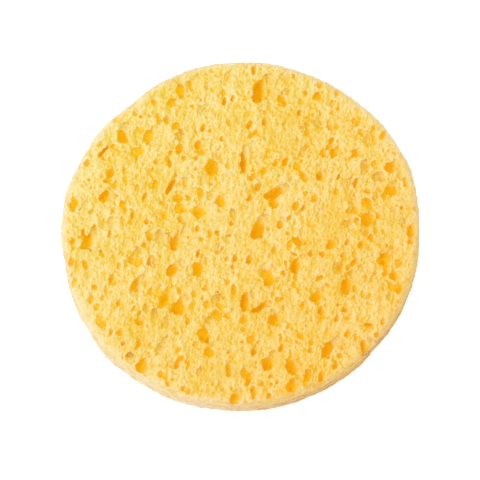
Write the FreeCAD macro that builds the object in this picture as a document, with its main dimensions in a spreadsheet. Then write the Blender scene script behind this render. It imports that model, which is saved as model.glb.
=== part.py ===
import FreeCAD, Part
import math
import os
import Sketcher

# A facial cleansing sponge: one die-cut, slightly oval disc of open-pored cellulose foam.
# Millimetres, +Z up. The origin is the middle of the underside, on the surface it lies on.
# Looking down on the sponge, +X is to the right and +Y is away from the viewer.

sizes = {
    # the disc: its long diameter is the mean plus the stretch, its short one the mean less it
    "mean_diameter": 78.8,
    "oval_stretch": 1.3,
    "long_axis_turn": 42.0,  # degrees from +X to the oval's long axis
    "disc_height": 6.0,
    "top_bevel": 0.9,
    "top_softening": 0.3,
    "underside_bevel": 0.5,
    # round pores: burst bubbles, about as long as they are wide
    "round_radius": 1.6,
    "round_depth": 2.1,
    "round_tilt": 24.0,  # degrees that the bubble leans as it goes in
    # long pores: bubbles drawn out as the foam rose
    "long_radius": 1.35,
    "long_depth": 1.9,
    "long_tilt": 45.0,
    # slit pores: bubbles that nearly closed again
    "slit_radius": 0.75,
    "slit_depth": 1.5,
    "slit_tilt": 58.0,
    # small pores between the others
    "small_radius": 0.55,
    "small_depth": 1.0,
    "small_tilt": 35.0,
    # rim pores: bubbles cut open by the die and pressed flat
    "rim_radius": 0.55,
    "rim_depth": 1.1,
    "rim_tilt": 52.0,
    # a burst bubble is a wide mouth over a narrower, deeper throat
    "throat_share": 0.62,  # of the mouth's radius
    "mouth_share": 0.5,  # of the throat's depth
    "overrun": 1.0,  # how far a bubble runs on past the skin
}

# how many flat walls a bubble of each kind has
wall_counts = {"round": 9, "long": 8, "slit": 6, "small": 6, "rim": 6}

# Large pores of the top: kind, place as shares of the half length and half width, size
# share, and the degrees that the pore leans to the right.
top_pore_shares = [
    ("long", 0.10, 0.82, 1.35, 4),
    ("long", -0.33, 0.83, 0.90, 10),
    ("slit", -0.27, 0.86, 1.00, -12),
    ("round", 0.23, 0.77, 0.80, 15),
    ("round", -0.20, 0.61, 0.60, 20),
    ("round", -0.64, 0.56, 1.20, 60),
    ("long", -0.51, 0.56, 0.95, 25),
    ("long", 0.75, 0.58, 0.75, -25),
    ("round", 0.51, 0.61, 0.50, 10),
    ("round", -0.34, 0.48, 0.75, 0),
    ("round", -0.23, 0.51, 0.65, 20),
    ("slit", -0.76, 0.47, 0.95, 30),
    ("round", 0.52, 0.47, 0.75, -30),
    ("round", 0.65, 0.46, 0.60, 15),
    ("round", -0.15, 0.39, 1.15, 35),
    ("slit", 0.02, 0.41, 1.30, -14),
    ("long", 0.84, 0.38, 0.80, 25),
    ("long", -0.72, 0.34, 0.70, 15),
    ("round", 0.35, 0.33, 0.65, 0),
    ("round", 0.45, 0.33, 0.65, 20),
    ("long", 0.65, 0.29, 0.70, 10),
    ("slit", -0.39, 0.27, 1.10, 25),
    ("slit", 0.10, 0.26, 0.65, 20),
    ("round", 0.84, 0.24, 0.85, 75),
    ("long", -0.75, 0.21, 0.90, 20),
    ("round", 0.18, 0.21, 1.40, 30),
    ("round", -0.92, 0.16, 0.70, 5),
    ("round", -0.34, 0.19, 0.65, 70),
    ("round", -0.10, 0.17, 0.70, 30),
    ("round", 0.36, 0.14, 0.50, 15),
    ("long", -0.22, 0.12, 0.85, 65),
    ("round", 0.71, 0.07, 1.05, 20),
    ("round", 0.23, 0.05, 0.60, 15),
    ("long", 0.10, 0.01, 1.15, 20),
    ("long", -0.85, -0.06, 1.25, -5),
    ("long", -0.36, -0.06, 1.00, 10),
    ("round", 0.51, -0.07, 0.70, 20),
    ("slit", -0.50, -0.17, 0.80, 15),
    ("long", 0.80, -0.15, 0.95, 35),
    ("round", 0.05, -0.16, 0.60, 0),
    ("long", -0.38, -0.22, 0.95, 30),
    ("long", -0.23, -0.21, 0.85, 10),
    ("long", 0.31, -0.20, 0.95, 5),
    ("slit", 0.56, -0.20, 0.75, 15),
    ("round", 0.15, -0.25, 1.05, 15),
    ("slit", -0.71, -0.27, 0.65, 15),
    ("long", -0.58, -0.31, 0.90, 30),
    ("long", 0.59, -0.31, 0.95, 20),
    ("round", 0.88, -0.33, 0.70, 20),
    ("round", -0.42, -0.38, 0.80, 25),
    ("slit", 0.42, -0.37, 0.85, 40),
    ("long", 0.03, -0.40, 1.10, 5),
    ("round", -0.33, -0.45, 1.00, 15),
    ("slit", 0.11, -0.45, 1.00, 55),
    ("round", 0.19, -0.51, 0.90, 30),
    ("round", -0.56, -0.52, 0.60, 70),
    ("long", -0.19, -0.62, 1.50, 15),
    ("round", 0.08, -0.69, 0.55, 0),
    ("long", 0.49, -0.68, 1.00, 20),
    ("long", 0.70, -0.68, 1.00, 30),
    ("round", -0.54, -0.77, 0.95, 15),
    ("slit", -0.34, -0.76, 0.85, 10),
    ("round", -0.06, -0.79, 0.55, 15),
    ("long", 0.15, -0.76, 0.90, 10),
    ("long", 0.29, -0.76, 0.95, 25),
    ("slit", 0.37, -0.87, 1.10, 20),
]

# The underside and the ground between the large pores of the top hold an even scatter. Its
# pores are at least as large as the first share, and the second is what the largest add.
scatters = {
    "top": {
        "places": 190,
        "kinds": ["small"],
        "inner_share": 0,  # no middle of a pore lies nearer to the disc's middle than this
        "outer_share": 0.95,  # or further out than this
        "least_size_share": 0.7,
        "size_range_share": 0.5,
    },
    "underside": {
        "places": 96,
        "kinds": ["long", "small", "round", "slit"],
        "inner_share": 0.12,
        "outer_share": 0.92,
        "least_size_share": 0.5,
        "size_range_share": 0.35,  # small enough that no pore meets one of the top
    },
}

# The number bases that spread each property evenly and apart from the others.
bases = {"across": 2, "away": 3, "size": 5, "heading": 7, "kind": 11}

rim_pores = 26
rim_middle_share = 0.5  # of the height
rim_band_share = 0.3
rim_least_size_share = 0.7
rim_size_range_share = 0.5

full_turn = 360.0  # degrees
half_turn = 180.0
quarter_turn = 90.0

doc = FreeCAD.newDocument("facial_sponge")


def write_sizes():
    sheet = doc.addObject("Spreadsheet::Sheet", "Sizes")
    for row, (alias, value) in enumerate(sizes.items(), start=1):
        sheet.set("A%d" % row, alias)
        sheet.set("B%d" % row, str(value))
        sheet.setAlias("B%d" % row, alias)
    doc.recompute()


def scatter(number, base):
    """The place, from 0 to 1, that this number's digits in this base give when mirrored."""
    place = 0.0
    step = 1.0
    while number:
        step /= base
        place += step * (number % base)
        number //= base
    return place


def origin_plane(body, role):
    for plane in body.Origin.OriginFeatures:
        if plane.Role == role:
            return plane
    raise ValueError("no origin plane " + role)


def draw_oval(body):
    """The cutting die's outline, an oval of four arcs on a 3-4-5 triangle.

    The end arcs' middles lie two stretches out along the long axis, and the side arcs'
    one and a half stretches out along the short axis, each beyond the other side.
    """
    outline = body.newObject("Sketcher::SketchObject", "die_outline")
    outline.AttachmentSupport = [(origin_plane(body, "XY_Plane"), "")]
    outline.MapMode = "FlatFace"
    outline.setExpression("AttachmentOffset.Rotation.Angle", "Sizes.long_axis_turn")

    end_middle = 2 * sizes["oval_stretch"]
    side_middle = 1.5 * sizes["oval_stretch"]
    half_width = (sizes["mean_diameter"] - sizes["oval_stretch"]) / 2
    end_radius = half_width - sizes["oval_stretch"]
    side_radius = half_width + side_middle
    meeting = math.atan2(3, 4)
    up = FreeCAD.Vector(0, 0, 1)
    arcs = (
        (end_middle, 0, end_radius, -meeting, meeting),
        (0, -side_middle, side_radius, meeting, math.pi - meeting),
        (-end_middle, 0, end_radius, math.pi - meeting, math.pi + meeting),
        (0, side_middle, side_radius, math.pi + meeting, 2 * math.pi - meeting),
    )
    for x, y, radius, start, end in arcs:
        circle = Part.Circle(FreeCAD.Vector(x, y, 0), up, radius)
        outline.addGeometry(Part.ArcOfCircle(circle, start, end))
    right, far, left, near = range(len(arcs))
    start, end, middle = 1, 2, 3
    across = -1  # the sketch's own axis, which starts at its origin
    for first, second in ((right, far), (far, left), (left, near)):
        outline.addConstraint(Sketcher.Constraint("Tangent", first, end, second, start))
    outline.addConstraint(Sketcher.Constraint("Coincident", near, end, right, start))
    outline.addConstraint(Sketcher.Constraint("PointOnObject", right, middle, across))
    outline.addConstraint(Sketcher.Constraint("Symmetric", right, middle, left, middle, across, start))
    outline.addConstraint(Sketcher.Constraint("Symmetric", near, middle, far, middle, across, start))
    for name, constraint, expression in (
        (
            "end_middle",
            Sketcher.Constraint("DistanceX", across, start, right, middle, end_middle),
            "2 * Sizes.oval_stretch",
        ),
        (
            "side_middle",
            Sketcher.Constraint("DistanceY", across, start, near, middle, side_middle),
            "1.5 * Sizes.oval_stretch",
        ),
        (
            "end_radius",
            Sketcher.Constraint("Radius", right, end_radius),
            "(Sizes.mean_diameter - Sizes.oval_stretch) / 2 - Sizes.oval_stretch",
        ),
    ):
        number = outline.addConstraint(constraint)
        outline.renameConstraint(number, name)
        outline.setExpression("Constraints." + name, expression)
    return outline


def edges_at(shape, level):
    """The names of the edges that run round the disc at this level."""
    names = []
    for number, edge in enumerate(shape.Edges, start=1):
        ends = [vertex.Z for vertex in edge.Vertexes] + [edge.CenterOfMass.z]
        if max(ends) - min(ends) < 2 * edge.Tolerance and abs(ends[0] - level) < 2 * edge.Tolerance:
            names.append("Edge%d" % number)
    return names


def make_blank():
    """The die-cut disc before its pores: an oval slab with softened rims."""
    body = doc.addObject("PartDesign::Body", "disc_blank")
    slab = body.newObject("PartDesign::Pad", "slab")
    slab.Profile = draw_oval(body)
    slab.setExpression("Length", "Sizes.disc_height")
    doc.recompute()
    top = sizes["disc_height"]
    for name, alias, levels in (
        ("top_rim", "top_bevel", [top]),
        ("top_rim_softened", "top_softening", [top, top - sizes["top_bevel"]]),
        ("underside_rim", "underside_bevel", [0]),
    ):
        base = body.Tip
        bevel = body.newObject("PartDesign::Chamfer", name)
        edges = [edge for level in levels for edge in edges_at(base.Shape, level)]
        bevel.Base = (base, edges)
        bevel.setExpression("Size", "Sizes." + alias)
        doc.recompute()
    return body


def make_bubble(name, kind, mouth, heading, fall, radius, depth):
    """One bubble, a flat-walled prism that leans as it goes in.

    mouth holds the expressions of its middle at the skin. From its floor it rises towards
    heading, in degrees from +X, and at fall, the expression of its angle from +Z. radius
    and depth are expressions too.
    """
    words = {"radius": radius, "fall": fall, "heading": heading, "tilt": "Sizes.%s_tilt" % kind}
    words["reach"] = "(%s) / cos(Sizes.%s_tilt)" % (depth, kind)
    bubble = doc.addObject("Part::Prism", name)
    bubble.Polygon = wall_counts[kind]
    bubble.setExpression("Circumradius", radius)
    bubble.setExpression("Height", "{reach} + {radius} * tan({tilt}) + Sizes.overrun".format(**words))
    swing = FreeCAD.Rotation(FreeCAD.Vector(0, 0, 1), heading + quarter_turn)
    hinge = swing.multVec(FreeCAD.Vector(1, 0, 0))
    bubble.Placement.Rotation = FreeCAD.Rotation(hinge, sizes[kind + "_tilt"])
    bubble.setExpression("Placement.Rotation.Angle", fall)
    runs = ("sin({fall}) * cos({heading})", "sin({fall}) * sin({heading})", "cos({fall})")
    for axis, at, run in zip("xyz", mouth, runs):
        back = ("{reach} * " + run).format(**words)
        bubble.setExpression("Placement.Base." + axis, "%s - %s" % (at, back))
    return bubble


def make_pore(name, kind, size_share, mouth, heading, fall):
    """A plain pore is one bubble, and a burst one has a narrower throat under its mouth."""
    radius = "Sizes.%s_radius * %s" % (kind, size_share)
    depth = "Sizes.%s_depth * %s" % (kind, size_share)
    if kind not in ("round", "long"):
        return [make_bubble(name, kind, mouth, heading, fall, radius, depth)]
    shallow = depth + " * Sizes.mouth_share"
    narrow = radius + " * Sizes.throat_share"
    return [
        make_bubble(name + "_mouth", kind, mouth, heading, fall, radius, shallow),
        make_bubble(name + "_throat", kind, mouth, heading, fall, narrow, depth),
    ]


def place_on_disc(across_share, away_share, level):
    return (
        "Sizes.mean_diameter / 2 * %s" % across_share,
        "Sizes.mean_diameter / 2 * %s" % away_share,
        level,
    )


def make_top_pores():
    pores = []
    for number, row in enumerate(top_pore_shares, start=1):
        kind, across_share, away_share, size_share, lean = row
        mouth = place_on_disc(across_share, away_share, "Sizes.disc_height")
        fall = "Sizes.%s_tilt" % kind
        name = "top_pore_%02d" % number
        pores += make_pore(name, kind, size_share, mouth, quarter_turn - lean, fall)
    return pores


def make_scattered_pores(side):
    """Pores of the top or the underside at the places of an even scatter."""
    spread = scatters[side]
    kinds = spread["kinds"]
    pores = []
    for number in range(1, spread["places"] + 1):
        across_share = 2 * scatter(number, bases["across"]) - 1
        away_share = 2 * scatter(number, bases["away"]) - 1
        out_share = math.hypot(across_share, away_share)
        if not spread["inner_share"] < out_share < spread["outer_share"]:
            continue
        kind = kinds[int(scatter(number, bases["kind"]) * len(kinds))]
        size_share = spread["least_size_share"]
        size_share += spread["size_range_share"] * scatter(number, bases["size"])
        heading = half_turn * scatter(number, bases["heading"])
        fall = "Sizes.%s_tilt" % kind
        level = "Sizes.disc_height"
        if side == "underside":
            fall = "%s - %s" % (half_turn, fall)
            level = "0"
        mouth = place_on_disc(across_share, away_share, level)
        name = "%s_pore_%03d" % (side, number)
        pores += make_pore(name, kind, size_share, mouth, heading, fall)
    return pores


def make_rim_pores():
    pores = []
    turn = "Sizes.long_axis_turn"
    for number in range(rim_pores):
        angle = full_turn * (number + scatter(number, bases["away"])) / rim_pores
        height_share = rim_middle_share + rim_band_share * (scatter(number, bases["across"]) - 1 / 2)
        size_share = rim_least_size_share + rim_size_range_share * scatter(number, bases["size"])
        along = "(Sizes.mean_diameter + Sizes.oval_stretch) / 2 * cos(%s)" % angle
        aside = "(Sizes.mean_diameter - Sizes.oval_stretch) / 2 * sin(%s)" % angle
        mouth = (
            "{0} * cos({2}) - {1} * sin({2})".format(along, aside, turn),
            "{0} * sin({2}) + {1} * cos({2})".format(along, aside, turn),
            "Sizes.disc_height * %s" % height_share,
        )
        way = 1 if number % 2 else -1
        heading = angle + sizes["long_axis_turn"] + way * sizes["rim_tilt"]
        name = "rim_pore_%02d" % (number + 1)
        pores += make_pore(name, "rim", size_share, mouth, heading, str(quarter_turn))
    return pores


def make_sponge():
    """The sponge is the blank with every bubble cut out of it."""
    blank = make_blank()
    bubbles = doc.addObject("Part::Compound", "bubbles")
    bubbles.Links = (
        make_top_pores()
        + make_scattered_pores("top")
        + make_scattered_pores("underside")
        + make_rim_pores()
    )
    sponge = doc.addObject("Part::Cut", "sponge_disc")
    sponge.Base = blank
    sponge.Tool = bubbles
    sponge.Label = "sponge_disc"
    doc.recompute()
    return sponge


def check(parts):
    """Stops before anything is written if an object failed or a solid isn't sound."""
    for item in doc.Objects:
        for word in ("Invalid", "Error"):
            if word in item.State:
                raise RuntimeError("%s is %s: %s" % (item.Label, word, item.getStatusString()))
    for part in parts:
        shape = part.Shape
        if shape.isNull() or not shape.isValid() or len(shape.Solids) != 1:
            raise RuntimeError("%s has no valid solid" % part.Label)
        print(part.Label, "volume %.1f mm3," % shape.Volume, len(shape.Faces), "faces")


write_sizes()
parts = [make_sponge()]
check(parts)
os.makedirs("parts", exist_ok=True)
for part in parts:
    part.Shape.exportStep("parts/%s.step" % part.Label)
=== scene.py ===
import math
import random
import time

import bpy
import numpy
from mathutils import Matrix, Vector
from mathutils.bvhtree import BVHTree


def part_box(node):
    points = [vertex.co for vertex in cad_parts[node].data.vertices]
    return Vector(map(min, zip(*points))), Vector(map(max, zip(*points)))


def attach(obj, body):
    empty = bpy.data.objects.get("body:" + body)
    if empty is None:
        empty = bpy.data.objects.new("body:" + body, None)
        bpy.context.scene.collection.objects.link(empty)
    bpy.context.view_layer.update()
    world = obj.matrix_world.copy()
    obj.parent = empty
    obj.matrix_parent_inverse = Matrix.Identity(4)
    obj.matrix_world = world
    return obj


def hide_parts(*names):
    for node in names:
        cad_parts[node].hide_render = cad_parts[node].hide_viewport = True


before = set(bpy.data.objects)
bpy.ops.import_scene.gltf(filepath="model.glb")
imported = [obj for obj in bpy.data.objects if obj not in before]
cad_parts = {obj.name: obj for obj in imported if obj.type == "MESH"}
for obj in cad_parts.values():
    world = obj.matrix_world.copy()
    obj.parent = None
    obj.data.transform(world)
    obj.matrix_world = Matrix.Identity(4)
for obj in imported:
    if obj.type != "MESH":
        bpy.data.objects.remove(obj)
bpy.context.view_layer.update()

mm = 0.001
closeBy = 0.01 * mm  # heights that differ by less than this count as the same
startedAt = time.time()


def report(words):
    print("%6.1f s  %s" % (time.time() - startedAt, words), flush=True)


def selectOnly(*pieces):
    bpy.ops.object.select_all(action="DESELECT")
    for piece in pieces:
        piece.select_set(True)
    bpy.context.view_layer.objects.active = pieces[0]


def applyModifier(piece, name, kind, **settings):
    selectOnly(piece)
    modifier = piece.modifiers.new(name, kind)
    for setting, value in settings.items():
        setattr(modifier, setting, value)
    bpy.ops.object.modifier_apply(modifier=name)


def freezePlace(piece):
    selectOnly(piece)
    bpy.ops.object.transform_apply(location=True, rotation=True, scale=True)


# the uncut blank: a slightly oval disc with soft edges and a side that the die squeezed
blankDisc = {
    "longAxisTurn": 42,  # degrees from +X
    "ovalness": 0.65 * mm,  # the long half over the mean one, and the short half under it
    "sides": 240,
    "topRounding": 1.3 * mm,
    "bottomRounding": 0.8 * mm,
    "roundingSteps": 4,
    "waist": 0.35 * mm,  # how far the middle of the side is drawn in
    "rimWaves": (  # degrees from +X, how far the rim goes out there in mm
        (0, -0.2), (21, 0.4), (50, -0.4), (60, -0.4), (70, -0.35), (105, 0.2), (129, -0.65),
        (165, 0.4), (189, -0.6), (200, -0.4), (211, -0.45), (232, -0.25), (241, -0.2), (261, -0.2),
        (281, 0.3), (291, 0.3), (301, 0.3), (311, 0.35), (330, 0.3), (340, 0.15), (350, 0.15),
    ),
    "waveGrip": 0.8,  # degrees to each side of its direction where the rim is pulled
    "waveReach": 7 * mm,  # how far along the rim follows the pull
}

low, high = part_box("sponge_disc")
thickness = high.z - low.z
meanRadius = (high.x - low.x + high.y - low.y) / 4
longHalf = meanRadius + blankDisc["ovalness"]
shortHalf = meanRadius - blankDisc["ovalness"]


def selectVertices(piece, test):
    # leaves edit mode for a moment, because selection is read from the mesh then
    bpy.ops.object.mode_set(mode="EDIT")
    bpy.ops.mesh.select_mode(type="VERT")
    bpy.ops.mesh.select_all(action="DESELECT")
    bpy.ops.object.mode_set(mode="OBJECT")
    for vertex in piece.data.vertices:
        vertex.select = test(vertex.co)
    bpy.ops.object.mode_set(mode="EDIT")


def roundEdges(blank):
    steps = blankDisc["roundingSteps"]
    selectVertices(blank, lambda place: place.z > thickness - closeBy)
    bpy.ops.mesh.bevel(offset=blankDisc["topRounding"], segments=steps, affect="EDGES")
    selectVertices(blank, lambda place: place.z < closeBy)
    bpy.ops.mesh.bevel(offset=blankDisc["bottomRounding"], segments=steps, affect="EDGES")


def drawInSide():
    # one ring half way up, made narrower
    bpy.ops.mesh.select_all(action="SELECT")
    bpy.ops.mesh.bisect(plane_co=(0, 0, thickness / 2), plane_no=(0, 0, 1))
    drawnIn = (meanRadius - blankDisc["waist"]) / meanRadius
    bpy.ops.transform.resize(value=(drawnIn, drawnIn, 1), center_override=(0, 0, 0))


def waveRim(blank):
    # the waves that the die left in the outline
    grip = math.cos(math.radians(blankDisc["waveGrip"]))
    for degrees, outwards in blankDisc["rimWaves"]:
        angle = math.radians(degrees)
        heading = Vector((math.cos(angle), math.sin(angle), 0))
        selectVertices(blank, lambda place: place.xy.normalized().dot(heading.xy) > grip)
        bpy.ops.transform.translate(
            value=heading * outwards * mm,
            use_proportional_edit=True,
            proportional_edit_falloff="SMOOTH",
            proportional_size=blankDisc["waveReach"],
        )


def stretchToOval():
    # turned until the long axis lies along X, stretched and turned back
    turn = math.radians(blankDisc["longAxisTurn"])  # rotate turns the other way, as there is no window
    bpy.ops.mesh.select_all(action="SELECT")
    bpy.ops.transform.rotate(value=turn, orient_axis="Z", center_override=(0, 0, 0))
    bpy.ops.transform.resize(
        value=(longHalf / meanRadius, shortHalf / meanRadius, 1), center_override=(0, 0, 0)
    )
    bpy.ops.transform.rotate(value=-turn, orient_axis="Z", center_override=(0, 0, 0))


def makeBlank():
    bpy.ops.object.select_all(action="DESELECT")
    bpy.ops.mesh.primitive_cylinder_add(
        vertices=blankDisc["sides"], radius=meanRadius, depth=thickness, location=(0, 0, thickness / 2)
    )
    blank = bpy.context.object
    blank.name = "sponge"
    freezePlace(blank)
    roundEdges(blank)
    drawInSide()
    waveRim(blank)
    stretchToOval()
    bpy.ops.object.mode_set(mode="OBJECT")
    return blank


# bubble shapes, each modelled once: how fine its mesh is, and how uneven
bubbleShapes = {
    "large": {"subdivisions": 2, "unevenness": 0.15, "variants": 8},
    "small": {"subdivisions": 1, "unevenness": 0.3, "variants": 8},
}
bubbleUnevenness = {
    "seed": 7,
    "alike": 0.3,  # how alike the dents and bumps are in height
    "straight": 0.7,  # how far they go straight in or out
}


def makeBubble(kind, variant):
    settings = bubbleShapes[kind]
    bpy.ops.object.select_all(action="DESELECT")
    bpy.ops.mesh.primitive_ico_sphere_add(subdivisions=settings["subdivisions"], radius=1)
    bubble = bpy.context.object
    bubble.name = "%s_bubble_%d" % (kind, variant)
    bpy.ops.object.mode_set(mode="EDIT")
    bpy.ops.mesh.select_all(action="SELECT")
    bpy.ops.transform.vertex_random(
        offset=settings["unevenness"],
        uniform=bubbleUnevenness["alike"],
        normal=bubbleUnevenness["straight"],
        seed=bubbleUnevenness["seed"] + variant,
    )
    bpy.ops.mesh.subdivide(number_cuts=1, smoothness=1)
    bpy.ops.object.mode_set(mode="OBJECT")
    return bubble


# the pores that stand out in the photo: share of the half size across and away, width and length
# in mm, degrees that the length leans to the right, share of the full depth
notablePores = (
    (-0.655, 0.56, 2.9, 3.7, -20, 0.6), (-0.51, 0.56, 2.6, 3.9, 15, 0.4),
    (-0.154, 0.385, 3.5, 3.6, 10, 0.8), (-0.389, 0.268, 1.5, 4.1, 25, 1.0),
    (-0.765, 0.467, 1.1, 3.7, 30, 1.0), (-0.339, 0.485, 2.0, 2.5, 0, 0.8),
    (-0.232, 0.508, 1.8, 2.3, 10, 0.8), (-0.204, 0.608, 1.3, 2.1, 10, 1.0),
    (-0.104, 0.543, 1.1, 1.4, 0, 1.0), (-0.451, 0.678, 1.1, 1.4, 0, 1.0), (-0.406, 0.655, 1.8, 2.0, 0, 0.8),
    (-0.356, 0.749, 1.3, 1.2, 0, 1.0), (-0.333, 0.831, 2.2, 3.5, 10, 0.4),
    (-0.272, 0.854, 1.1, 3.9, -12, 0.5), (-0.087, 0.766, 0.9, 2.1, 5, 1.0),
    (-0.042, 0.778, 0.9, 1.8, 5, 1.0), (-0.754, 0.209, 2.2, 3.7, 20, 0.7),
    (-0.916, 0.174, 2.2, 2.3, 0, 0.6), (-0.597, 0.104, 1.1, 2.3, 10, 0.9),
    (-0.529, 0.209, 0.9, 2.5, 10, 0.9), (-0.345, 0.198, 2.2, 1.8, 0, 0.8),
    (-0.311, 0.133, 2.0, 1.4, 0, 0.9), (-0.227, 0.121, 3.3, 3.0, 0, 0.6), (-0.104, 0.174, 2.0, 2.5, 5, 0.8),
    (-0.849, -0.06, 2.4, 5.6, 8, 0.45), (-0.725, -0.008, 0.9, 2.3, 10, 0.9),
    (-0.72, 0.344, 1.8, 2.8, 15, 0.8), (0.076, 0.945, 1.3, 2.3, 0, 0.9), (0.104, 0.819, 2.7, 6.9, 4, 0.8),
    (0.232, 0.772, 2.4, 3.0, 0, 0.4), (0.3, 0.913, 0.9, 1.2, 0, 1.0), (0.445, 0.86, 1.8, 1.4, 0, 0.7),
    (0.137, 0.643, 1.5, 1.8, 0, 1.0), (0.098, 0.579, 1.3, 1.8, 0, 1.0), (0.053, 0.625, 1.3, 2.5, 30, 0.8),
    (0.507, 0.608, 1.1, 1.6, 0, 1.0), (0.373, 0.625, 1.3, 1.4, 0, 1.0), (0.02, 0.414, 1.6, 5.3, -14, 1.0),
    (0.524, 0.467, 2.2, 2.3, -30, 0.8), (0.647, 0.461, 1.8, 2.1, 15, 0.8), (0.35, 0.332, 2.0, 2.1, 0, 0.7),
    (0.445, 0.326, 1.8, 2.3, 10, 1.0), (0.647, 0.285, 1.3, 3.0, 10, 0.9),
    (0.753, 0.578, 1.3, 3.5, -20, 0.8), (0.838, 0.379, 2.4, 3.2, 25, 0.7),
    (0.843, 0.244, 3.3, 2.3, 20, 0.7), (0.185, 0.225, 2.4, 5.2, 62, 0.8), (0.19, 0.175, 2.2, 3.4, -18, 0.8),
    (0.059, 0.198, 1.3, 1.8, 10, 1.0), (0.104, 0.262, 1.3, 2.3, 20, 1.0), (0.098, 0.01, 3.3, 4.6, 15, 0.8),
    (0.227, 0.045, 1.5, 2.3, 0, 0.9), (0.361, 0.145, 1.3, 1.8, 0, 1.0), (0.709, 0.074, 3.3, 3.7, 20, 0.6),
    (0.647, 0.133, 1.3, 2.3, 0, 0.9), (0.955, 0.004, 2.0, 3.4, 0, 0.6), (-0.361, -0.06, 2.0, 4.6, 8, 0.9),
    (-0.597, -0.16, 1.5, 2.5, 10, 0.8), (-0.501, -0.166, 1.1, 3.0, 10, 0.9),
    (-0.378, -0.219, 2.6, 3.5, 35, 0.7), (-0.232, -0.213, 2.4, 3.5, 5, 0.8),
    (-0.232, -0.125, 1.1, 2.3, 5, 0.9), (-0.025, -0.148, 1.3, 1.8, 0, 1.0),
    (-0.714, -0.271, 1.3, 2.3, 10, 0.9), (-0.58, -0.307, 2.2, 3.9, 15, 0.6),
    (-0.412, -0.389, 2.4, 3.0, 10, 0.8), (-0.339, -0.436, 2.9, 3.7, 10, 1.0),
    (-0.557, -0.518, 2.0, 1.6, 0, 1.0), (-0.669, -0.406, 1.3, 1.8, 0, 0.9), (-0.2, -0.6, 3.0, 5.2, 5, 0.35),
    (-0.17, -0.69, 2.6, 2.4, 60, 0.6), (-0.204, -0.377, 0.7, 1.4, 0, 1.0),
    (-0.541, -0.776, 2.9, 3.7, 15, 0.7), (-0.406, -0.834, 1.1, 1.8, 0, 0.9),
    (-0.345, -0.758, 1.3, 3.0, 10, 0.9), (-0.031, -0.955, 2.4, 2.8, 40, 0.7),
    (-0.064, -0.787, 1.3, 2.1, 5, 0.9), (-0.647, -0.641, 1.1, 1.2, 0, 0.9),
    (-0.664, -0.576, 1.3, 1.4, 0, 0.9), (-0.311, -0.904, 1.1, 1.2, 0, 0.9),
    (0.053, -0.16, 1.8, 2.1, 0, 0.9), (0.311, -0.195, 2.4, 3.7, 5, 1.0), (0.148, -0.236, 3.0, 2.2, 0, 0.6),
    (0.16, -0.277, 2.6, 2.6, 10, 0.9), (0.507, -0.072, 1.8, 2.5, 10, 0.8), (0.597, -0.06, 1.1, 1.8, 0, 0.9),
    (0.557, -0.195, 1.3, 2.5, 20, 0.9), (0.798, -0.154, 2.9, 3.7, 35, 0.5), (0.81, -0.23, 1.3, 2.1, 0, 0.8),
    (0.854, -0.248, 1.8, 2.3, 10, 0.8), (0.591, -0.312, 2.4, 4.2, -5, 0.7),
    (0.423, -0.371, 2.0, 3.0, 35, 0.9), (0.451, -0.453, 1.6, 2.1, 0, 1.0), (0.58, -0.447, 1.8, 1.4, 0, 0.9),
    (0.535, -0.5, 0.9, 1.8, 15, 1.0), (0.025, -0.406, 2.2, 4.9, 0, 0.9), (0.104, -0.441, 1.5, 4.2, 55, 0.9),
    (0.025, -0.494, 1.3, 1.4, 0, 0.9), (0.193, -0.5, 2.9, 3.2, 30, 0.7), (0.076, -0.693, 1.6, 1.8, 0, 1.0),
    (0.154, -0.758, 2.4, 3.7, 10, 0.8), (0.289, -0.781, 2.4, 4.2, -25, 0.8),
    (0.49, -0.676, 2.4, 4.4, 20, 0.8), (0.395, -0.682, 1.1, 1.4, 0, 0.9), (0.451, -0.834, 1.3, 2.5, 0, 1.0),
    (0.373, -0.846, 1.6, 4.6, 15, 0.5), (0.289, -0.887, 2.2, 3.9, 0, 0.5),
    (0.048, -0.852, 1.5, 3.0, 5, 0.9), (0.076, -0.94, 1.1, 2.6, 0, 0.7),
    (0.697, -0.676, 2.0, 4.4, -20, 0.9), (0.21, -0.863, 0.9, 1.2, 0, 1.0),
    (0.227, -0.67, 0.9, 2.3, 25, 0.9), (0.882, -0.33, 2.2, 2.5, 20, 0.5),
)

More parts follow.
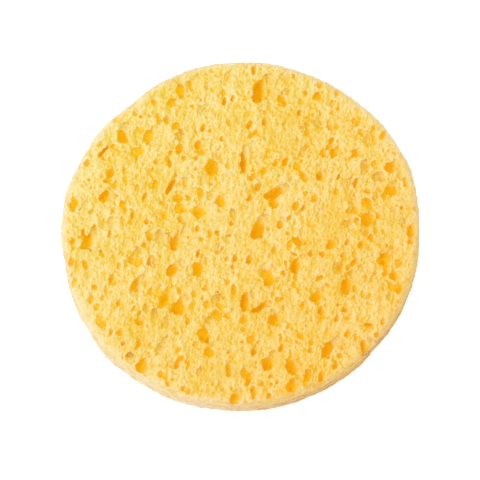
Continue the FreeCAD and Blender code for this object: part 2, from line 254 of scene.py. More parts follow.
# how cells lie in the foam, and the ones that are scattered between those; lengths in mm, slants
# in degrees, and a pair holds the least and the most
foamCells = {
    "seed": 11,
    "slant": 50,  # degrees that cells lie over from upright
    "deepEnd": 218,  # degrees from +X of the side that they run deeper under
    "turnAbout": 28,  # degrees that this differs from cell to cell
    "lean": (-10, 35),  # degrees to the right that their lengths lean, seen from above
    "large": {
        "opening": (0.87, 0.95),  # width and length against those of the mouth, which the slant widens
        "depthAgainstSize": 1.0,
        "slantShares": (0.75, 1.1),
        "sunk": 0.05,  # how far its middle lies under the skin, against its height
    },
    "dish": {  # the shallow open cell beside a large pore, opposite to its deep end
        "leastWidth": 1.2,  # of a pore that has one
        "offset": 0.6,  # this and the next two are shares of the pore's size
        "size": 1.1,
        "height": 0.4,
        "slant": 14,
    },
    "inner": {  # small cells that open in the wall of a large one
        "number": 5,
        "narrow": 1.6,  # a pore up to this width has fewer
        "numberInNarrow": 2,
        "around": 90,  # degrees to each side of the deep end
        "down": (0.1, 0.9),  # share of the way down to "downTo"
        "outTo": 0.46,  # share of the pore's width and length
        "downTo": 0.5,  # share of the pore's size that the lowest would lie down
        "sizes": (0.25, 0.45),  # shares of the pore's size
        "stretch": 1.3,
    },
    "underside": {
        "number": 120,
        "outTo": 0.95,  # share of the half size
        "widths": (1.2, 3.4),
        "stretches": (1, 1.8),  # length against width
        "depthShares": (0.5, 0.9),
    },
    "rimSlots": {
        "number": 69,
        "lengths": (0.6, 2.2),
        "heights": (0.25, 0.6),
        "levels": (0.2, 0.8),  # shares of the thickness
        "depth": 1.1,  # about half of it lies in the foam
        "outTo": 0.993,
        "front": {"turn": 282, "length": 2.6, "height": 1.3, "level": 0.5},  # the one that shows in front
    },
    "scattered": {
        "outTo": 0.985,
        "stretches": (1.0, 1.5),  # length against size, and size against width
        "sunk": 0.1,
        "favourSmall": 1.6,  # above 1, small ones are more usual than large ones
    },
    # the three kinds that are scattered; depth is against the size
    "dishes": {
        "number": 120, "shape": "large", "sizes": (1.5, 3.6), "depth": (0.12, 0.24), "slants": (8, 24),
    },
    "craters": {
        "number": 70, "shape": "large", "sizes": (1.5, 3.0), "depth": (0.15, 0.35), "slants": (15, 60),
    },
    "middle": {
        "number": 340, "shape": "small", "sizes": (0.8, 1.7), "depth": (0.4, 0.75), "slants": (15, 65),
    },
    "patches": {  # small cells over all the faces, a few millimetres at a time
        "number": 170,  # on each face
        "variants": 8,
        "cells": 26,
        "width": 6.5,
        "sizes": (0.35, 0.85),
        "stretches": (1.0, 1.65),
        "heights": (0.7, 1.3),  # against the size
        "outTo": 0.97,
        "turns": 18,  # degrees that a copy is turned by, at most
    },
}
chance = random.Random(foamCells["seed"])  # every draw comes from it, in the order of the code


def placeOnDisc(across, away, height=0.0):
    return Vector((across * (high.x - low.x) / 2, away * (high.y - low.y) / 2, height))


def anySpot(reach):
    # anywhere in a circle, one spot as likely as another
    radius = math.sqrt(chance.random()) * reach
    turn = chance.uniform(0, 2 * math.pi)
    return radius * math.cos(turn), radius * math.sin(turn)


def sizeBetween(span):
    return span[0] * (span[1] / span[0]) ** (chance.random() ** foamCells["scattered"]["favourSmall"])


def addCell(shapes, place, size, turn, lean, slant):
    # a copy of one of the shapes with its own mesh; size is its width, length and height
    shape = chance.choice(shapes)
    cell = shape.copy()
    cell.data = shape.data.copy()
    heading = math.radians(turn)
    tippingAxis = Vector((math.sin(heading), -math.cos(heading), 0))
    cell.matrix_world = (
        Matrix.Translation(place)
        @ Matrix.Rotation(math.radians(slant), 4, tippingAxis)
        @ Matrix.Rotation(-math.radians(lean), 4, "Z")
        @ Matrix.Diagonal((size[0] / 2, size[1] / 2, size[2] / 2, 1))
        @ Matrix.Rotation(chance.choice((0, 1)) * math.pi, 4, "Z")
    )
    bpy.context.collection.objects.link(cell)
    return cell


def addDish(shapes, place, width, length, turn, lean, face):
    dish = foamCells["dish"]
    size = math.sqrt(width * length)
    back = math.radians(turn)
    offset = Vector((math.cos(back), math.sin(back), 0)) * -dish["offset"] * size
    dishSize = (width * dish["size"], length * dish["size"], size * dish["height"])
    return addCell(shapes["large"], place + offset, dishSize, turn, lean, face * dish["slant"])


def addInnerCells(shapes, centre, width, length, turn, lean, slant, face):
    inner = foamCells["inner"]
    size = math.sqrt(width * length)
    cells = []
    for number in range(inner["number"] if width > inner["narrow"] * mm else inner["numberInNarrow"]):
        around = math.radians(turn + chance.uniform(-inner["around"], inner["around"]))
        down = chance.uniform(*inner["down"])
        level = math.sqrt(1 - down * down)
        reach = Vector((math.cos(around) * level * width, math.sin(around) * level * length, 0))
        drop = Vector((0, 0, face * down * size * inner["downTo"]))
        share = chance.uniform(*inner["sizes"])
        cells.append(addCell(
            shapes["small"], centre + reach * inner["outTo"] - drop,
            (size * share, size * share * inner["stretch"], size * share), turn, lean, slant,
        ))
    return cells


def addLargePore(shapes, place, width, length, lean, depthShare, face):
    # the open cell with the ones in its wall, and apart from them its dish; face is 1 on top and
    # -1 underneath
    large = foamCells["large"]
    width, length = width * large["opening"][0], length * large["opening"][1]
    height = 2 * math.sqrt(width * length) * large["depthAgainstSize"] * depthShare
    turn = foamCells["deepEnd"] + chance.uniform(-1, 1) * foamCells["turnAbout"]
    slant = face * foamCells["slant"] * chance.uniform(*large["slantShares"])
    centre = place - Vector((0, 0, face * large["sunk"] * height))
    cells = [addCell(shapes["large"], centre, (width, length, height), turn, lean, slant)]
    dishes = []
    if width > foamCells["dish"]["leastWidth"] * mm:
        dishes.append(addDish(shapes, place, width, length, turn, lean, face))
    cells += addInnerCells(shapes, centre, width, length, turn, lean, slant, face)
    return cells, dishes


def addTopPores(shapes):
    cells, dishes = [], []
    for across, away, width, length, lean, depthShare in notablePores:
        place = placeOnDisc(across, away, thickness)
        pore, beside = addLargePore(shapes, place, width * mm, length * mm, lean, depthShare, 1)
        cells += pore
        dishes += beside
    return cells, dishes


def addUndersidePores(shapes):
    under = foamCells["underside"]
    cells, dishes = [], []
    for number in range(under["number"]):
        place = placeOnDisc(*anySpot(under["outTo"]))
        width = chance.uniform(*under["widths"]) * mm
        length = width * chance.uniform(*under["stretches"])
        lean = chance.uniform(*foamCells["lean"])
        depthShare = chance.uniform(*under["depthShares"])
        pore, beside = addLargePore(shapes, place, width, length, lean, depthShare, -1)
        cells += pore
        dishes += beside
    return cells, dishes


def scatterCells(shapes, group, face):
    scattered = foamCells["scattered"]
    cells = []
    for number in range(group["number"]):
        size = sizeBetween(group["sizes"]) * mm
        stretch = chance.uniform(*scattered["stretches"])
        height = 2 * size * chance.uniform(*group["depth"])
        across, away = anySpot(scattered["outTo"])
        sunk = scattered["sunk"] * height
        place = placeOnDisc(across, away, thickness - sunk if face > 0 else sunk)
        turn = foamCells["deepEnd"] + chance.gauss(0, foamCells["turnAbout"])
        lean = chance.uniform(*foamCells["lean"])
        slant = face * chance.uniform(*group["slants"])
        cells.append(addCell(
            shapes[group["shape"]], place, (size / stretch, size * stretch, height), turn, lean, slant
        ))
    return cells


def makePatch(shapes):
    # small cells spread over a few millimetres, as one piece that is copied over the faces
    patch = foamCells["patches"]
    cells = []
    for number in range(patch["cells"]):
        size = sizeBetween(patch["sizes"]) * mm
        stretch = chance.uniform(*patch["stretches"])
        across, away = anySpot(patch["width"] / 2 * mm)
        height = size * chance.uniform(*patch["heights"])
        lean = chance.uniform(*foamCells["lean"])
        slant = foamCells["slant"] * chance.random()
        cells.append(addCell(
            shapes["small"], Vector((across, away, 0)), (size / stretch, size * stretch, height),
            foamCells["deepEnd"], lean, slant,
        ))
    return joinCells(cells, "patch")


def spreadPatches(patches, face):
    spread = foamCells["patches"]
    copies = []
    for number in range(spread["number"]):
        patch = chance.choice(patches)
        piece = patch.copy()
        piece.data = patch.data.copy()
        across, away = anySpot(spread["outTo"])
        piece.location = placeOnDisc(across, away, thickness if face > 0 else 0)
        tip = 0 if face > 0 else math.pi  # turned over for the underside
        piece.rotation_euler = (tip, 0, math.radians(chance.uniform(-spread["turns"], spread["turns"])))
        bpy.context.collection.objects.link(piece)
        copies.append(piece)
    return copies


def addRimSlot(shapes, angle, length, height, level):
    slots = foamCells["rimSlots"]
    place = placeOnDisc(math.cos(angle), math.sin(angle), thickness * level)
    place.xy *= slots["outTo"]
    size = (slots["depth"] * mm, length * mm, height * mm)
    return addCell(shapes["small"], place, size, 0, -math.degrees(angle), 0)


def addRimSlots(shapes):
    # cells that the die flattened, along the side
    slots = foamCells["rimSlots"]
    front = slots["front"]
    angle = math.radians(front["turn"])
    cells = [addRimSlot(shapes, angle, front["length"], front["height"], front["level"])]
    for number in range(slots["number"]):
        angle = chance.uniform(0, 2 * math.pi)
        length = chance.uniform(*slots["lengths"])
        height = chance.uniform(*slots["heights"])
        level = chance.uniform(*slots["levels"])
        cells.append(addRimSlot(shapes, angle, length, height, level))
    return cells


def joinCells(cells, name):
    selectOnly(*cells)
    bpy.ops.object.join()
    piece = bpy.context.object
    piece.name = name
    freezePlace(piece)
    return piece


def makeCutters():
    # the shallow open cells, and every bubble that is cut after them, each as one mesh
    shapes = {
        kind: [makeBubble(kind, variant) for variant in range(settings["variants"])]
        for kind, settings in bubbleShapes.items()
    }
    patches = [makePatch(shapes) for variant in range(foamCells["patches"]["variants"])]
    cells, dishes = addTopPores(shapes)
    cellsUnder, dishesUnder = addUndersidePores(shapes)
    cells += cellsUnder
    dishes += dishesUnder
    for face in (1, -1):
        dishes += scatterCells(shapes, foamCells["dishes"], face)
        cells += scatterCells(shapes, foamCells["craters"], face)
        cells += scatterCells(shapes, foamCells["middle"], face)
        cells += spreadPatches(patches, face)
    cells += addRimSlots(shapes)
    report("%d bubbles placed" % (len(cells) + len(dishes)))
    dishCutter = joinCells(dishes, "dishes")
    poreCutter = joinCells(cells, "pores")
    selectOnly(*patches, *shapes["large"], *shapes["small"])
    bpy.ops.object.delete()
    report("bubbles joined")
    return dishCutter, poreCutter


# how fine the foam is resolved
foamMesh = {
    "cutterVoxel": 0.15 * mm,
    "blankVoxel": 0.3 * mm,
    "voxel": 0.18 * mm,
    "smoothing": 2,
    "smoothingFactor": 0.5,
    "depthSoftening": 6,  # times that each point's depth is averaged with its neighbours'
}

# unevenness between the pores: texture, its noise, size in mm, height in mm, level that stays
foamGrain = {
    "leanOver": 22,  # degrees to the right that the grain leans, seen from above
    "drawnOut": 1.8,  # how much longer it is than wide
    "layers": (
        ("hollows", "SOFT_NOISE", 1.3, 0.55, 0.5),
        ("ridges", "HARD_NOISE", 0.9, -0.3, 0.3),
        ("fibres", "HARD_NOISE", 0.4, -0.35, 0.3),
    ),
    "sideFlat": 3,  # how much longer than high the marks on the side are
    "sideLayers": (
        ("side marks", "SOFT_NOISE", 0.6, 0.5, 0.5),
        ("side fibres", "HARD_NOISE", 0.25, -0.3, 0.3),
    ),
    "sideReach": 0.6 * mm,  # how far in from the rim they go
}


def raiseGrain(sponge, layers, turn, scale, onSide):
    # an empty carries the textures, so that they lean and are drawn out with it
    bpy.ops.object.select_all(action="DESELECT")
    bpy.ops.object.empty_add(location=(0, 0, 0), rotation=(0, 0, math.radians(turn)))
    guide = bpy.context.object
    guide.scale = scale
    for name, noise, size, height, level in layers:
        texture = bpy.data.textures.new(name, "CLOUDS")
        texture.noise_type = noise
        texture.noise_scale = size * mm
        applyModifier(
            sponge, name, "DISPLACE", texture=texture, texture_coords="OBJECT",
            texture_coords_object=guide, strength=height * mm, mid_level=level,
            vertex_group="side", invert_vertex_group=not onSide,
        )
    selectOnly(guide)
    bpy.ops.object.delete()
    selectOnly(sponge)


def addGrain(sponge):
    long, flat = foamGrain["drawnOut"], foamGrain["sideFlat"]
    inner = meanRadius - foamGrain["sideReach"]
    selectVertices(sponge, lambda place: place.xy.length > inner)
    bpy.ops.object.vertex_group_add()
    bpy.ops.object.vertex_group_assign()
    bpy.ops.object.mode_set(mode="OBJECT")
    sponge.vertex_groups[0].name = "side"
    raiseGrain(sponge, foamGrain["layers"], -foamGrain["leanOver"], (1, long, 1), False)
    raiseGrain(sponge, foamGrain["sideLayers"], 0, (flat, flat, 1), True)
    sponge.vertex_groups.clear()
    # pressed flat on what it lies on
    selectVertices(sponge, lambda place: place.z < 0)
    bpy.ops.transform.resize(value=(1, 1, 0), center_override=(0, 0, 0))
    bpy.ops.object.mode_set(mode="OBJECT")


def measureRim(blank):
    # how far out the top of the side goes, by its direction
    level = thickness - blankDisc["topRounding"]
    ring = [vertex.co for vertex in blank.data.vertices if abs(vertex.co.z - level) < closeBy]
    return [math.atan2(place.y, place.x) for place in ring], [place.xy.length for place in ring]


def storeDistances(sponge, skin, rim):
    # how far each point lies under the skin, softened as light softens it in foam, and how far
    # inside the rim; both in mm
    mesh = sponge.data
    depths = []
    for vertex in mesh.vertices:
        nearest, normal, *_ = skin.find_nearest(vertex.co)
        depths.append((nearest - vertex.co).dot(normal) / mm)
    depths = numpy.array(depths)
    ends = numpy.empty(2 * len(mesh.edges), dtype=numpy.int32)
    mesh.edges.foreach_get("vertices", ends)
    first, second = ends[0::2], ends[1::2]
    neighbours = numpy.bincount(ends, minlength=len(depths))
    for step in range(foamMesh["depthSoftening"]):
        sums = numpy.bincount(first, weights=depths[second], minlength=len(depths))
        sums += numpy.bincount(second, weights=depths[first], minlength=len(depths))
        depths = (depths + sums) / (1 + neighbours)
    places = numpy.empty(3 * len(mesh.vertices))
    mesh.vertices.foreach_get("co", places)
    across, away = places[0::3], places[1::3]
    outline = numpy.interp(numpy.arctan2(away, across), *rim, period=2 * math.pi)
    inside = (outline - numpy.hypot(across, away)) / mm
    for name, values in (("depth", depths), ("inside_rim", inside)):
        attribute = mesh.attributes.new(name, "FLOAT", "POINT")
        attribute.data.foreach_set("value", values)


def cutAway(sponge, cutter):
    applyModifier(cutter, "union", "REMESH", mode="VOXEL", voxel_size=foamMesh["cutterVoxel"])
    applyModifier(sponge, "cut", "BOOLEAN", operation="DIFFERENCE", solver="MANIFOLD", object=cutter)
    selectOnly(cutter)
    bpy.ops.object.delete()


def makeSponge():
    sponge = makeBlank()
    rim = measureRim(sponge)
    report("blank made")
    applyModifier(sponge, "even faces", "REMESH", mode="VOXEL", voxel_size=foamMesh["blankVoxel"])
    dishCutter, poreCutter = makeCutters()
    cutAway(sponge, dishCutter)
    skin = BVHTree.FromObject(sponge, bpy.context.evaluated_depsgraph_get())
    report("dishes cut")
    cutAway(sponge, poreCutter)
    report("pores cut")
    applyModifier(sponge, "even foam", "REMESH", mode="VOXEL", voxel_size=foamMesh["voxel"])
    applyModifier(
        sponge, "soft edges", "SMOOTH", factor=foamMesh["smoothingFactor"], iterations=foamMesh["smoothing"]
    )
    report("%d points of foam" % len(sponge.data.vertices))
    addGrain(sponge)
    report("grain raised")
    storeDistances(sponge, skin, rim)
    selectOnly(sponge)
    bpy.ops.object.shade_smooth()
    report("depth stored")
    return sponge


# cellulose foam: colours in 0 to 1 as seen on screen, depths and sizes in mm; of two levels, the
# first is where a thing starts and the second where it is whole
foamFinish = {
    # painted bounce light and shade: the deeper under the skin, the more orange, as light that bounces in
    # the pores colours them
    "depthColours": (  # depth under the skin, colour there
        (-0.35, (0.993, 0.935, 0.67)),
        (0.0, (0.987, 0.882, 0.505)),
        (0.25, (0.975, 0.845, 0.39)),
        (0.5, (0.963, 0.812, 0.265)),
        (1.0, (0.958, 0.796, 0.11)),
        (2.0, (0.958, 0.79, 0.02)),
    ),
    "hollowShadeReach": 3.5,  # painted shade and light: depth that a sharp hollow adds, and a sharp crest takes
    # painted light and shade: walls that face this way, in degrees from +X, look this much less deep and so
    # paler, as if lit, and walls that face away look deeper and more orange, as if shaded
    "paintedLight": {"turn": 215, "depth": 0.75},
    # painted shade: upright walls look this much deeper and more orange, as shade in the pores; the levels
    # are how far up or down a wall still faces
    "paintedWallShade": {"depth": 0.9, "levels": (0.6, 0.1)},
    "wallsFrom": (0.5, 1.2),  # how far inside the rim these two start and are whole
    # painted shade: towards this side, in degrees from +X, away from the light, the foam is multiplied by
    # this colour, darker as if less light fell there
    "shadeFalloff": {"turn": -40, "colour": (1.0, 0.94, 0.87)},
    # size, depth that they add or take
    "patches": ((8.0, 0.35), (3.0, 0.4), (1.2, 0.35), (0.5, 0.2)),
    "patchesDrawnOut": 2.2,  # how much longer they are than wide
    # painted shade of the finest pores, smaller than the mesh resolves: specks of deeper, more orange
    # colour
    "specks": {"size": 0.45, "levels": (0.61, 0.68), "depth": 0.8},
    # thin shade between fibres
    "fineGrain": {"size": 0.28, "levels": (0.4, 0.6), "colour": (0.985, 0.972, 0.95)},
    # painted light: pores emit light, standing in for light that comes into a pore through the thin walls
    "paintedGlow": {"colour": (0.85, 0.66, 0.10), "strength": 0.2, "depths": (-0.45, 0.9)},
    "roughness": 0.9,
    "specular": 0.1,
}

# the die-cut rim, which is paler than the foam, in the same measures; on the side away from the light it is
# painted in shade
rimFinish = {
    "colour": (1.0, 0.965, 0.87),
    "lines": (0.965, 0.87, 0.68),  # the flattened cells that the die left
    "shadedRimColour": (0.95, 0.83, 0.64),  # painted shade: the rim on the side away from the light
    # painted shade: the die's lines on that side
    "shadedRimLines": (0.86, 0.71, 0.48),
    "shadedShare": (0.7, 1.0),  # levels of the painted shade
    "lineHeight": 0.5,
    "lineLength": 5,  # how much longer they are than high
    "lineLevels": (0.45, 0.62),
    "reach": 1.95,  # how far in over the face its colour goes
    "shares": (0.65, 0.35),  # how much of its colour the face has at the near edge, towards the light, and at the far edge, in painted shade
    "sideHeights": (5.9, 3.2),
    "sideInside": (2.4, 1.8),  # how far in the side goes
    "notUnder": (-0.8, -0.3),  # levels that leave out what faces down
    "notInPores": (0.9, 0.3),  # depths, because pores keep their painted depth colour
    "unevenness": 0.9,  # of its inner edge
    "unevenSize": 1.0,
    "paleReach": 4.0,  # the face pales towards it over this
    "paleDepth": 0.18,
}


def screenColour(colour):
    # from screen values to the linear ones that nodes hold
    linear = [value / 12.92 if value <= 0.04045 else ((value + 0.055) / 1.055) ** 2.4 for value in colour]
    return (*linear, 1)


def addNode(tree, kind, **settings):
    node = tree.nodes.new(kind)
    for setting, value in settings.items():
        setattr(node, setting, value)
    return node


def mathNode(tree, operation, first, second=None):
    node = addNode(tree, "ShaderNodeMath", operation=operation)
    for socket, value in zip(node.inputs, (first, second)):
        if isinstance(value, bpy.types.NodeSocket):
            tree.links.new(value, socket)
        elif value is not None:
            socket.default_value = value
    return node.outputs[0]


def rangeNode(tree, value, start, end, smooth=True):
    node = addNode(tree, "ShaderNodeMapRange", interpolation_type="SMOOTHSTEP" if smooth else "LINEAR")
    tree.links.new(value, node.inputs["Value"])
    node.inputs["From Min"].default_value = start
    node.inputs["From Max"].default_value = end
    return node.outputs["Result"]


def mixColour(tree, share, first, second, blend="MIX"):
    node = addNode(tree, "ShaderNodeMix", data_type="RGBA", blend_type=blend)
    tree.links.new(share, node.inputs["Factor"])
    for socket, value in ((node.inputs[6], first), (node.inputs[7], second)):
        if isinstance(value, bpy.types.NodeSocket):
            tree.links.new(value, socket)
        else:
            socket.default_value = value
    return node.outputs[2]


def noiseNode(tree, coordinates, size):
    node = addNode(tree, "ShaderNodeTexNoise")
    tree.links.new(coordinates, node.inputs["Vector"])
    node.inputs["Scale"].default_value = 1 / (size * mm)
    return node.outputs["Fac"]


def swingNode(tree, share, reach):
    # a share from 0 to 1 as a change from -reach to reach
    return mathNode(tree, "MULTIPLY", mathNode(tree, "SUBTRACT", share, 0.5), 2 * reach)


def mapNode(tree, coordinates, turn, scale):
    # turns a pattern by these degrees about Z and draws it out by this scale
    node = addNode(tree, "ShaderNodeMapping", vector_type="TEXTURE")
    node.inputs["Rotation"].default_value = (0, 0, math.radians(turn))
    node.inputs["Scale"].default_value = scale
    tree.links.new(coordinates, node.inputs["Vector"])
    return node.outputs["Vector"]


def axisNode(tree, vector, axis):
    node = addNode(tree, "ShaderNodeSeparateXYZ")
    tree.links.new(vector, node.inputs["Vector"])
    return node.outputs[axis]


def attributeNode(tree, name):
    return addNode(tree, "ShaderNodeAttribute", attribute_name=name).outputs["Fac"]


def foamDepth(tree, pointiness):
    # depth under the skin, more in hollows and less on crests, which paints shade into hollows and light
    # onto crests; 0.5 is a flat spot's pointiness
    hollow = mathNode(tree, "SUBTRACT", 0.5, pointiness)
    hollow = mathNode(tree, "MULTIPLY", hollow, foamFinish["hollowShadeReach"])
    return mathNode(tree, "ADD", attributeNode(tree, "depth"), hollow)


def rimShare(tree, place, inside, depth, upwards, shadedShare):
    # how much of the rim's colour shows, over the edge of the face and down the side
    nearest, farthest = rimFinish["shares"]
    fringe = mathNode(tree, "SUBTRACT", nearest, mathNode(tree, "MULTIPLY", shadedShare, nearest - farthest))
    onFace = mathNode(tree, "MULTIPLY", rangeNode(tree, inside, rimFinish["reach"], 0), fringe)
    sideTop, sideWhole = (height * mm for height in rimFinish["sideHeights"])
    onSide = rangeNode(tree, axisNode(tree, place, "Z"), sideTop, sideWhole)
    onSide = mathNode(tree, "MULTIPLY", onSide, rangeNode(tree, inside, *rimFinish["sideInside"]))
    onSide = mathNode(tree, "MULTIPLY", onSide, rangeNode(tree, upwards, *rimFinish["notUnder"]))
    atRim = mathNode(tree, "MAXIMUM", onFace, onSide)
    return mathNode(tree, "MULTIPLY", atRim, rangeNode(tree, depth, *rimFinish["notInPores"]))


def wallShadeDepth(tree, upwards, wallShare):
    # painted shade: upright walls are painted deeper and more orange
    paintedWallShade = foamFinish["paintedWallShade"]
    share = rangeNode(tree, mathNode(tree, "ABSOLUTE", upwards), *paintedWallShade["levels"])
    return mathNode(tree, "MULTIPLY", mathNode(tree, "MULTIPLY", share, paintedWallShade["depth"]), wallShare)


def paintedLightDepth(tree, normal, wallShare):
    # painted light and shade: a wall's colour follows the way it faces, paler towards the light
    paintedLight = foamFinish["paintedLight"]
    angle = math.radians(paintedLight["turn"])
    towards = addNode(tree, "ShaderNodeVectorMath", operation="DOT_PRODUCT")
    tree.links.new(normal, towards.inputs[0])
    towards.inputs[1].default_value = (math.cos(angle), math.sin(angle), 0)
    share = mathNode(tree, "MULTIPLY", towards.outputs["Value"], wallShare)
    return mathNode(tree, "MULTIPLY", share, paintedLight["depth"])


def shownDepth(tree, depth, paintedLight, inside, leaning):
    # depth as the colour takes it, with the painted light and shade of the walls by the way they face, the
    # pale edge, the patches and the finest pores
    shown = mathNode(tree, "SUBTRACT", depth, paintedLight)
    paling = rangeNode(tree, inside, rimFinish["paleReach"], 0)
    shown = mathNode(tree, "SUBTRACT", shown, mathNode(tree, "MULTIPLY", paling, rimFinish["paleDepth"]))
    for size, change in foamFinish["patches"]:
        patch = swingNode(tree, noiseNode(tree, leaning, size), change)
        shown = mathNode(tree, "ADD", shown, patch)
    # painted pore shade in specks, for pores too small for the mesh
    specks = foamFinish["specks"]
    share = rangeNode(tree, noiseNode(tree, leaning, specks["size"]), *specks["levels"])
    return mathNode(tree, "ADD", shown, mathNode(tree, "MULTIPLY", share, specks["depth"]))


def depthColour(tree, shown):
    # painted bounce light and shade: deeper points are given more orange
    stops = foamFinish["depthColours"]
    top, bottom = stops[0][0], stops[-1][0]
    ramp = addNode(tree, "ShaderNodeValToRGB")
    tree.links.new(rangeNode(tree, shown, top, bottom, smooth=False), ramp.inputs["Fac"])
    elements = ramp.color_ramp.elements
    elements.remove(elements[1])
    for number, (level, colour) in enumerate(stops):
        share = (level - top) / (bottom - top)
        stop = elements.new(share) if number else elements[0]
        stop.position = share
        stop.color = screenColour(colour)
    return ramp.outputs["Color"]


def rimColour(tree, place, shadedShare):
    length = rimFinish["lineLength"]
    flattened = mapNode(tree, place, 0, (length, length, 1))
    lines = rangeNode(tree, noiseNode(tree, flattened, rimFinish["lineHeight"]), *rimFinish["lineLevels"])
    near, nearLines = screenColour(rimFinish["colour"]), screenColour(rimFinish["lines"])
    # painted shade: the rim and its lines on the side away from the light
    far, shadedRimLines = screenColour(rimFinish["shadedRimColour"]), screenColour(rimFinish["shadedRimLines"])
    plainColour = mixColour(tree, shadedShare, near, far)
    lineColour = mixColour(tree, shadedShare, nearLines, shadedRimLines)
    return mixColour(tree, lines, plainColour, lineColour)


def makeFoamMaterial():
    material = bpy.data.materials.new("open_foam")
    material.use_nodes = True
    tree = material.node_tree
    place = addNode(tree, "ShaderNodeTexCoord").outputs["Object"]
    geometry = addNode(tree, "ShaderNodeNewGeometry")
    upwards = axisNode(tree, geometry.outputs["Normal"], "Z")
    leaning = mapNode(tree, place, -foamGrain["leanOver"], (1, foamFinish["patchesDrawnOut"], 1))

    # how far over the disc a point lies, towards the side that is painted in shade
    shadeFalloff = foamFinish["shadeFalloff"]
    along = axisNode(tree, mapNode(tree, place, shadeFalloff["turn"], (meanRadius,) * 3), "X")
    shadeFalloffShare = rangeNode(tree, along, -1, 1, smooth=False)
    shadedShare = rangeNode(tree, shadeFalloffShare, *rimFinish["shadedShare"])

    # how far inside the rim, measured and with an uneven edge
    fromRim = attributeNode(tree, "inside_rim")
    ragged = swingNode(tree, noiseNode(tree, place, rimFinish["unevenSize"]), rimFinish["unevenness"])
    inside = mathNode(tree, "ADD", fromRim, ragged)
    wallShare = rangeNode(tree, fromRim, *foamFinish["wallsFrom"])

    # painted shade in hollows and light on crests, through the depth
    depth = foamDepth(tree, geometry.outputs["Pointiness"])
    atRim = rimShare(tree, place, inside, depth, upwards, shadedShare)
    # painted shade on upright walls, which also makes them emit more of the painted light
    depth = mathNode(tree, "ADD", depth, wallShadeDepth(tree, upwards, wallShare))
    # painted light and shade by the way each wall faces
    paintedLight = paintedLightDepth(tree, geometry.outputs["Normal"], wallShare)
    foamAndPaintedShade = depthColour(tree, shownDepth(tree, depth, paintedLight, inside, leaning))
    colour = mixColour(tree, atRim, foamAndPaintedShade, rimColour(tree, place, shadedShare))
    # painted shade, growing towards the side away from the light
    colour = mixColour(tree, shadeFalloffShare, colour, screenColour(shadeFalloff["colour"]), "MULTIPLY")
    fineGrain = foamFinish["fineGrain"]
    shade = rangeNode(tree, noiseNode(tree, leaning, fineGrain["size"]), *fineGrain["levels"])
    colour = mixColour(tree, shade, colour, screenColour(fineGrain["colour"]), "MULTIPLY")

    # painted light: emission by depth, though the foam is no lamp
    paintedGlow = foamFinish["paintedGlow"]
    glowing = mathNode(tree, "MULTIPLY", rangeNode(tree, depth, *paintedGlow["depths"]), paintedGlow["strength"])
    glowing = mathNode(tree, "MULTIPLY", glowing, mathNode(tree, "SUBTRACT", 1.0, atRim))

    shader = tree.nodes["Principled BSDF"]
    shader.inputs["Roughness"].default_value = foamFinish["roughness"]
    shader.inputs["Specular IOR Level"].default_value = foamFinish["specular"]
    shader.inputs["Emission Color"].default_value = screenColour(paintedGlow["colour"])
    tree.links.new(colour, shader.inputs["Base Color"])
    tree.links.new(glowing, shader.inputs["Emission Strength"])
    return material


# pale floor, soft key light from the left and an even fill
studio = {
    "floorWidth": 1.6,  # metres
    "floorColour": (0.95, 0.95, 0.95),
    "floorSeen": (1.0, 1.0, 1.0),  # the colour that the camera sees
    "floorLift": 0.45,  # light that the camera sees on top of it, so that the floor is white
    "fill": 0.875,
    "key": 0.125,  # what the key light adds on a level white face
    "keyFrom": 182,  # degrees from +X
    "keyHeight": 46,  # degrees above the floor
    "keySoftness": 60,  # degrees that the light is wide
}


def whereSeen(tree):
    # 1 for what the camera sees, also by reflection or through glass
    path = addNode(tree, "ShaderNodeLightPath")
    seen = mathNode(tree, "MAXIMUM", path.outputs["Is Camera Ray"], path.outputs["Is Glossy Ray"])
    return mathNode(tree, "MAXIMUM", seen, path.outputs["Is Transmission Ray"])


def makeFloor():
    bpy.ops.object.select_all(action="DESELECT")
    bpy.ops.mesh.primitive_plane_add(size=studio["floorWidth"], location=(0, 0, 0))
    floor = bpy.context.object
    floor.name = "floor"
    material = bpy.data.materials.new("pale_floor")
    material.use_nodes = True
    tree = material.node_tree
    tree.nodes.clear()
    plain = addNode(tree, "ShaderNodeBsdfDiffuse")
    plain.inputs["Color"].default_value = (*studio["floorColour"], 1)
    seen = addNode(tree, "ShaderNodeBsdfDiffuse")
    seen.inputs["Color"].default_value = (*studio["floorSeen"], 1)
    lift = addNode(tree, "ShaderNodeEmission")
    lift.inputs["Strength"].default_value = studio["floorLift"]
    lifted = addNode(tree, "ShaderNodeAddShader")
    mixed = addNode(tree, "ShaderNodeMixShader")
    output = addNode(tree, "ShaderNodeOutputMaterial")
    tree.links.new(seen.outputs[0], lifted.inputs[0])
    tree.links.new(lift.outputs[0], lifted.inputs[1])
    tree.links.new(whereSeen(tree), mixed.inputs[0])
    tree.links.new(plain.outputs[0], mixed.inputs[1])
    tree.links.new(lifted.outputs[0], mixed.inputs[2])
    tree.links.new(mixed.outputs[0], output.inputs["Surface"])
    floor.data.materials.append(material)


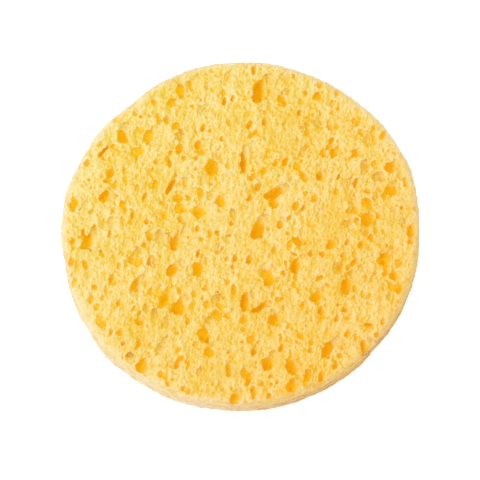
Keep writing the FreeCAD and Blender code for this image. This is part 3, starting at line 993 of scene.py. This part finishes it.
def makeWorld():
    world = bpy.data.worlds.new("studio")
    bpy.context.scene.world = world
    world.use_nodes = True
    tree = world.node_tree
    fill = tree.nodes["Background"]
    fill.inputs["Color"].default_value = (1, 1, 1, 1)
    fill.inputs["Strength"].default_value = studio["fill"]
    white = addNode(tree, "ShaderNodeBackground")
    white.inputs["Color"].default_value = (1, 1, 1, 1)
    mixed = addNode(tree, "ShaderNodeMixShader")
    tree.links.new(whereSeen(tree), mixed.inputs[0])
    tree.links.new(fill.outputs[0], mixed.inputs[1])
    tree.links.new(white.outputs[0], mixed.inputs[2])
    tree.links.new(mixed.outputs[0], tree.nodes["World Output"].inputs["Surface"])


def makeKeyLight():
    around, up = math.radians(studio["keyFrom"]), math.radians(studio["keyHeight"])
    towards = Vector((math.cos(around) * math.cos(up), math.sin(around) * math.cos(up), math.sin(up)))
    lamp = bpy.data.lights.new("key_light", "SUN")
    lamp.energy = studio["key"] * math.pi / math.sin(up)
    lamp.angle = math.radians(studio["keySoftness"])
    key = bpy.data.objects.new("key_light", lamp)
    key.location = towards
    key.rotation_euler = towards.to_track_quat("Z", "Y").to_euler()
    bpy.context.collection.objects.link(key)


# the photo's view
photoView = {
    "elevation": 74.2,  # degrees above the floor
    "distance": 1.5,  # metres
    "frameWidth": 105.2 * mm,  # what the frame takes in at the sponge
    "aimAcross": -0.1 * mm,
    "aimAway": -1.9 * mm,
    "seenFrom": 10 * mm,
    "seenTo": 10,  # metres
}


def makeCamera():
    settings = bpy.data.cameras.new("photo_camera")
    settings.lens = settings.sensor_width * photoView["distance"] / photoView["frameWidth"]
    settings.clip_start = photoView["seenFrom"]
    settings.clip_end = photoView["seenTo"]
    camera = bpy.data.objects.new("photo_camera", settings)
    up = math.radians(photoView["elevation"])
    back = Vector((0, -math.cos(up), math.sin(up)))
    aim = Vector((photoView["aimAcross"], photoView["aimAway"], thickness))
    camera.location = aim + back * photoView["distance"]
    camera.rotation_euler = back.to_track_quat("Z", "Y").to_euler()
    bpy.context.collection.objects.link(camera)
    bpy.context.scene.camera = camera


sponge = makeSponge()
sponge.data.materials.clear()
sponge.data.materials.append(makeFoamMaterial())
report("foam coloured")
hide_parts("sponge_disc")
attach(sponge, "root")
makeFloor()
makeWorld()
makeKeyLight()
makeCamera()
bpy.context.scene.view_settings.view_transform = "Standard"
report("studio set")
